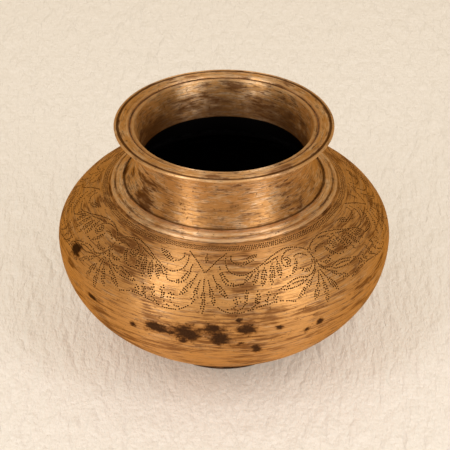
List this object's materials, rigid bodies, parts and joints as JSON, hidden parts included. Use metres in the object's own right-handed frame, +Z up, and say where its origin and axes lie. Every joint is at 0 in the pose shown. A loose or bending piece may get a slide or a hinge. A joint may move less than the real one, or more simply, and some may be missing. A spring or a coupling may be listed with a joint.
{
  "type": "lota water pot",
  "caption": "Squat brass water pot: round belly on a low foot ring, waisted neck with a moulded collar, flat rim and a punched leaf-and-scroll band on the shoulder.",
  "frame": {"origin": "centre of the foot ring's underside, on the surface the pot stands on", "axes": "+Z up along the pot's axis of turning; X and Y lie in the surface it stands on, and -Y is the side seen in front"},
  "size_m": [0.15, 0.15, 0.1121],
  "materials": {
    "aged_brass": "aged, part polished, brown in the hollows",
    "dark_brass": "dark brown patina",
    "dark_solder": "dull, tarnished hard solder"
  },
  "bodies": {
    "root": {"foot_ring": "dark_brass", "foot_solder": "dark_solder", "lower_bowl": "aged_brass", "belly_solder": "dark_solder", "shoulder": "aged_brass", "neck_solder": "dark_solder", "neck": "aged_brass", "collar_ring": "aged_brass", "mouth_solder": "dark_solder", "rim_flange": "aged_brass"}
  },
  "joints": []
}
